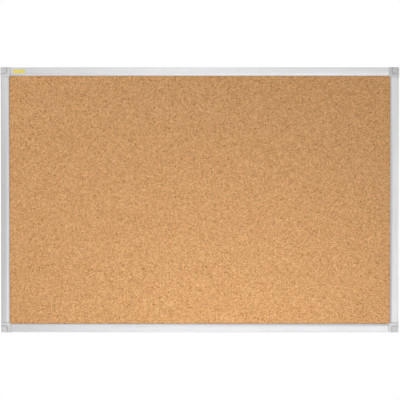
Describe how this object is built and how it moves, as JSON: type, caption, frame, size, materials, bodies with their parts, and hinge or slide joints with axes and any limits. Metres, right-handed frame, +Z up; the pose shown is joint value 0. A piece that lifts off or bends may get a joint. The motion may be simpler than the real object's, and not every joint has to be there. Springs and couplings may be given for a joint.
{
  "type": "pin badge board",
  "caption": "Wall-hung cork pin board: a layered cork panel in a silver aluminium frame with grey moulded corners and pull-off screw caps.",
  "frame": {"origin": "centre of the board on the wall plane, which the backs of the corner mouldings touch", "axes": "+X to the right as seen from the front, +Y into the wall, so the cork faces -Y, and +Z up"},
  "size_m": [0.9, 0.0153, 0.6],
  "materials": {
    "cork": "matte",
    "fibre_board": "matte",
    "kraft_sheet": "matte",
    "anodised_aluminium": "satin",
    "corner_plastic": "satin",
    "cap_plastic": "satin",
    "zinc_screw": "satin",
    "label": "satin"
  },
  "bodies": {
    "board": {"cork_sheet": "cork", "core_board": "fibre_board", "backing_sheet": "kraft_sheet", "blank_label": "label", "rail_top": "anodised_aluminium", "rail_bottom": "anodised_aluminium", "rail_left": "anodised_aluminium", "rail_right": "anodised_aluminium", "corner_top_left": "corner_plastic", "corner_top_right": "corner_plastic", "corner_bottom_left": "corner_plastic", "corner_bottom_right": "corner_plastic", "rail_screw_bottom_left": "zinc_screw", "rail_screw_bottom_right": "zinc_screw", "rail_screw_right_bottom": "zinc_screw", "rail_screw_right_top": "zinc_screw", "rail_screw_top_right": "zinc_screw", "rail_screw_top_left": "zinc_screw", "rail_screw_left_top": "zinc_screw", "rail_screw_left_bottom": "zinc_screw"},
    "cap_top_left": {"screw_cap_top_left": "cap_plastic"},
    "cap_top_right": {"screw_cap_top_right": "cap_plastic"},
    "cap_bottom_left": {"screw_cap_bottom_left": "cap_plastic"},
    "cap_bottom_right": {"screw_cap_bottom_right": "cap_plastic"}
  },
  "joints": [
    {"name": "cap_top_left_pull", "type": "slide", "parent": "board", "child": "cap_top_left", "axis": [0, -1, 0], "range_m": [0, 0.02]},
    {"name": "cap_top_right_pull", "type": "slide", "parent": "board", "child": "cap_top_right", "axis": [0, -1, 0], "range_m": [0, 0.02]},
    {"name": "cap_bottom_left_pull", "type": "slide", "parent": "board", "child": "cap_bottom_left", "axis": [0, -1, 0], "range_m": [0, 0.02]},
    {"name": "cap_bottom_right_pull", "type": "slide", "parent": "board", "child": "cap_bottom_right", "axis": [0, -1, 0], "range_m": [0, 0.02]}
  ]
}
